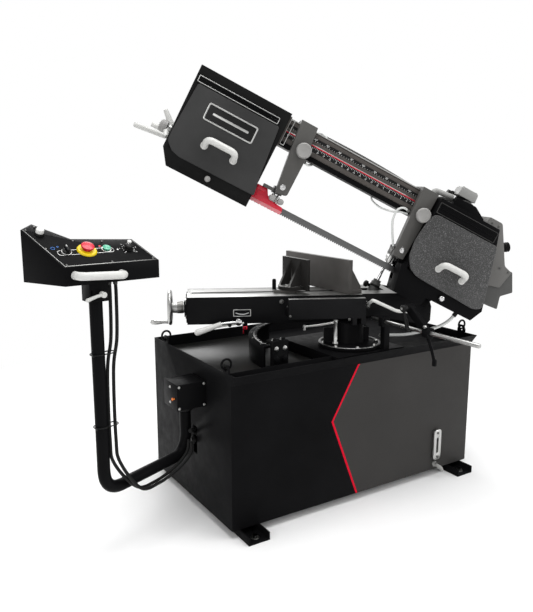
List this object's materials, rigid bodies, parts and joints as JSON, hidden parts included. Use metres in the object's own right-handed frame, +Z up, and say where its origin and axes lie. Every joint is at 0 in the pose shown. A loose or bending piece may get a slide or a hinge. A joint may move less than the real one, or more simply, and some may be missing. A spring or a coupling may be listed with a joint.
{
  "type": "horizontal band saw",
  "caption": "Horizontal mitring metal-cutting band saw with a tilted pivoting head, a vise bed on a turret, a coolant cabinet and a swinging control box.",
  "frame": {"origin": "on the floor under the middle of the whole machine's bounding box", "axes": "+X along the cabinet towards the motor end, +Y towards the cabinet's back, +Z up"},
  "size_m": [1.8777, 1.148, 1.6046],
  "materials": {
    "black_paint": "semi-gloss",
    "grey_paint": "hammertone",
    "light_grey_paint": "satin",
    "arm_grey": "satin",
    "machined_iron": "machined",
    "taupe_rail": "satin",
    "bright_steel": "brushed",
    "blade_steel": "brushed",
    "red_paint": "gloss",
    "white_plastic": "gloss",
    "black_plastic": "matte",
    "red_plastic": "gloss",
    "green_plastic": "gloss",
    "grey_plastic": "matte",
    "cable_rubber": "matte",
    "gauge_plastic": "satin"
  },
  "bodies": {
    "base": {"cabinet": "black_paint", "foot_front_left": "black_paint", "foot_front_right": "black_paint", "foot_back_left": "black_paint", "foot_back_right": "black_paint", "sight_gauge": "gauge_plastic", "junction_box": "black_paint", "turret_base": "black_paint", "mitre_scale_arc": "black_paint", "square_stop": "black_paint", "work_stop_bar": "bright_steel", "cable_tail": "cable_rubber"},
    "table": {"turntable": "black_paint", "vise_bed": "machined_iron", "rest_block": "black_paint", "swivel_arm": "black_paint"},
    "mitre_lever": {"mitre_lock_lever": "white_plastic"},
    "jaw_lever": {"jaw_lock_lever": "bright_steel"},
    "vise_wheel": {"handwheel": "black_plastic", "lead_screw": "bright_steel"},
    "crank_grip": {"handwheel_grip": "bright_steel"},
    "carriage": {"vise_carriage": "machined_iron"},
    "moving_jaw": {"movable_jaw": "machined_iron"},
    "rear_jaw": {"fixed_jaw": "machined_iron"},
    "stop_slide": {"work_stop_arm": "black_paint"},
    "stop_handle": {"work_stop_lever": "black_paint"},
    "head": {"beam": "taupe_rail", "idler_housing": "black_paint", "drive_housing": "black_paint", "blade": "blade_steel", "gearbox": "grey_paint", "motor": "grey_paint", "drive_cover": "light_grey_paint", "hinge_bracket": "black_paint"},
    "idler_cover": {"idler_door": "black_paint"},
    "drive_cover_door": {"drive_door": "grey_paint"},
    "idler_carrier": {"idler_slide": "machined_iron"},
    "idler_pulley": {"idler_wheel": "machined_iron"},
    "drive_pulley": {"drive_wheel": "machined_iron"},
    "tensioner": {"tension_handle": "bright_steel"},
    "left_guide": {"left_guide_arm": "arm_grey", "blade_guard": "red_paint"},
    "right_guide": {"right_guide_arm": "arm_grey"},
    "left_knob": {"left_guide_knob": "grey_plastic"},
    "right_knob": {"right_guide_knob": "grey_plastic"},
    "left_front_bearing": {"left_front_roller": "bright_steel"},
    "left_back_bearing": {"left_back_roller": "bright_steel"},
    "right_front_bearing": {"right_front_roller": "bright_steel"},
    "right_back_bearing": {"right_back_roller": "bright_steel"},
    "cylinder": {"feed_cylinder": "grey_paint"},
    "piston_rod": {"feed_rod": "bright_steel"},
    "feed_valve": {"feed_valve_knob": "black_plastic"},
    "pendant": {"pendant_arm": "black_paint", "pendant_cables": "cable_rubber", "control_box": "black_paint"},
    "clamp": {"box_clamp_lever": "white_plastic"},
    "stop_push": {"stop_button": "red_plastic"},
    "start_push": {"start_button": "green_plastic"},
    "selector": {"selector_knob": "black_plastic"},
    "speed_dial": {"speed_knob": "black_plastic"}
  },
  "joints": [
    {"name": "mitre_swivel", "type": "hinge", "parent": "base", "child": "table", "pos_m": [0.26, 0.006, 0], "axis": [0, 0, 1], "range_deg": [-19, 26]},
    {"name": "mitre_lock", "type": "hinge", "parent": "table", "child": "mitre_lever", "pos_m": [-0.14239, 0.17556, 0.686], "axis": [0.4384, 0.8988, 0], "range_deg": [-20, 15]},
    {"name": "jaw_lock", "type": "hinge", "parent": "table", "child": "jaw_lever", "pos_m": [0.31932, -0.02293, 0.74], "axis": [0.4384, 0.8988, 0], "range_deg": [-15, 25]},
    {"name": "handwheel_turn", "type": "hinge", "parent": "table", "child": "vise_wheel", "pos_m": [-0.32133, 0.40636, 0.724], "axis": [0.8988, -0.4384, 0], "range_deg": [-5100, 1650]},
    {"name": "grip_spin", "type": "hinge", "parent": "vise_wheel", "child": "crank_grip", "pos_m": [-0.33847, 0.42139, 0.666], "axis": [0.8988, -0.4384, 0], "continuous": true},
    {"name": "jaw_travel", "type": "slide", "parent": "table", "child": "carriage", "axis": [0.8988, -0.4384, 0], "range_m": [-0.171, 0.0555]},
    {"name": "moving_jaw_pivot", "type": "hinge", "parent": "carriage", "child": "moving_jaw", "pos_m": [0.11549, 0.19331, 0.79], "axis": [0, 0, 1], "range_deg": [-26.1, 19.1]},
    {"name": "rear_jaw_pivot", "type": "hinge", "parent": "table", "child": "rear_jaw", "pos_m": [0.26, 0.006, 0.78], "axis": [0, 0, 1], "range_deg": [-26.1, 19.1]},
    {"name": "stop_travel", "type": "slide", "parent": "base", "child": "stop_slide", "axis": [0, 1, 0], "range_m": [-0.19, 0.05]},
    {"name": "stop_handle_turn", "type": "hinge", "parent": "stop_slide", "child": "stop_handle", "pos_m": [0.303, -0.251, 0.764], "axis": [1, 0, 0], "range_deg": [-40, 40]},
    {"name": "head_lift", "type": "hinge", "parent": "table", "child": "head", "pos_m": [0.53503, -0.12814, 0.743], "axis": [0.4384, 0.8988, 0], "range_deg": [-27.7, 8]},
    {"name": "idler_door_open", "type": "hinge", "parent": "head", "child": "idler_cover", "pos_m": [-0.17397, 0.09528, 1.47612], "axis": [-0.7994, 0.3899, 0.4571], "range_deg": [0, 100]},
    {"name": "drive_door_open", "type": "hinge", "parent": "head", "child": "drive_cover_door", "pos_m": [0.57022, -0.26769, 1.04609], "axis": [-0.7994, 0.3899, 0.4571], "range_deg": [0, 100]},
    {"name": "idler_travel", "type": "slide", "parent": "head", "child": "idler_carrier", "axis": [0.7994, -0.3899, -0.4571], "range_m": [0, 0.0081]},
    {"name": "idler_spin", "type": "hinge", "parent": "idler_carrier", "child": "idler_pulley", "pos_m": [-0.18356, 0.1923, 1.3766], "axis": [0.4384, 0.8988, 0], "continuous": true},
    {"name": "drive_spin", "type": "hinge", "parent": "head", "child": "drive_pulley", "pos_m": [0.57587, -0.1781, 0.94236], "axis": [0.4384, 0.8988, 0], "continuous": true},
    {"name": "tension_turn", "type": "hinge", "parent": "head", "child": "tensioner", "pos_m": [-0.36077, 0.33325, 1.41027], "axis": [0.7994, -0.3899, -0.4571], "range_deg": [0, 1152]},
    {"name": "left_guide_travel", "type": "slide", "parent": "head", "child": "left_guide", "axis": [0.7994, -0.3899, -0.4571], "range_m": [-0.02, 0.36]},
    {"name": "right_guide_travel", "type": "slide", "parent": "head", "child": "right_guide", "axis": [0.7994, -0.3899, -0.4571], "range_m": [-0.1, 0]},
    {"name": "left_knob_turn", "type": "hinge", "parent": "left_guide", "child": "left_knob", "pos_m": [0.03824, 0.01402, 1.31932], "axis": [0.4384, 0.8988, 0], "range_deg": [-180, 180]},
    {"name": "right_knob_turn", "type": "hinge", "parent": "right_guide", "child": "right_knob", "pos_m": [0.44194, -0.18287, 1.08848], "axis": [0.4384, 0.8988, 0], "range_deg": [-180, 180]},
    {"name": "left_front_roller_spin", "type": "hinge", "parent": "left_guide", "child": "left_front_bearing", "pos_m": [-0.03494, 0.10691, 1.15368], "axis": [0.4108, -0.2004, 0.8894], "continuous": true},
    {"name": "left_back_roller_spin", "type": "hinge", "parent": "left_guide", "child": "left_back_bearing", "pos_m": [-0.01038, 0.12074, 1.14545], "axis": [0.4108, -0.2004, 0.8894], "continuous": true},
    {"name": "right_front_roller_spin", "type": "hinge", "parent": "right_guide", "child": "right_front_bearing", "pos_m": [0.36876, -0.08999, 0.92284], "axis": [0.4108, -0.2004, 0.8894], "continuous": true},
    {"name": "right_back_roller_spin", "type": "hinge", "parent": "right_guide", "child": "right_back_bearing", "pos_m": [0.39332, -0.07616, 0.91462], "axis": [0.4108, -0.2004, 0.8894], "continuous": true},
    {"name": "cylinder_tilt", "type": "hinge", "parent": "table", "child": "cylinder", "pos_m": [0.38979, 0.08733, 0.694], "axis": [0.4384, 0.8988, 0], "range_deg": [-9.8, 2.9]},
    {"name": "rod_stroke", "type": "slide", "parent": "cylinder", "child": "piston_rod", "axis": [0.402, -0.196, 0.8944], "range_m": [-0.093, 0.027]},
    {"name": "feed_valve_turn", "type": "hinge", "parent": "cylinder", "child": "feed_valve", "pos_m": [0.39944, 0.08263, 0.80491], "axis": [0.8039, -0.3921, -0.4472], "range_deg": [-150, 150]},
    {"name": "pendant_swing", "type": "hinge", "parent": "base", "child": "pendant", "pos_m": [-0.407, 0.102, 0.425], "axis": [0, 0, 1], "range_deg": [-30, 30]},
    {"name": "clamp_turn", "type": "hinge", "parent": "pendant", "child": "clamp", "pos_m": [-0.74705, -0.09268, 0.886], "axis": [-0.1253, 0.9921, 0], "range_deg": [-60, 30]},
    {"name": "stop_press", "type": "slide", "parent": "pendant", "child": "stop_push", "axis": [-0.0652, 0.516, -0.8541], "range_m": [0, 0.005], "stiffness_N_per_m": 600, "springref_m": -0.004},
    {"name": "start_press", "type": "slide", "parent": "pendant", "child": "start_push", "axis": [-0.0652, 0.516, -0.8541], "range_m": [0, 0.0025], "stiffness_N_per_m": 400, "springref_m": -0.004},
    {"name": "selector_turn", "type": "hinge", "parent": "pendant", "child": "selector", "pos_m": [-0.83323, -0.04368, 1.01724], "axis": [-0.0652, 0.516, -0.8541], "range_deg": [0, 90]},
    {"name": "speed_turn", "type": "hinge", "parent": "pendant", "child": "speed_dial", "pos_m": [-0.63934, -0.02263, 1.01516], "axis": [-0.0652, 0.516, -0.8541], "range_deg": [-150, 150]}
  ],
  "couplings": [
    {"joint": "moving_jaw_pivot", "follows": "mitre_swivel", "ratio": -1},
    {"joint": "rear_jaw_pivot", "follows": "mitre_swivel", "ratio": -1},
    {"joint": "cylinder_tilt", "follows": "head_lift", "ratio": 0.352},
    {"joint": "rod_stroke", "follows": "head_lift", "m_per_rad": 0.1914},
    {"joint": "jaw_travel", "follows": "handwheel_turn", "m_per_rad": 0.0019099},
    {"joint": "idler_spin", "follows": "drive_spin", "ratio": 1},
    {"joint": "idler_travel", "follows": "tension_turn", "m_per_rad": 0.00039789}
  ]
}
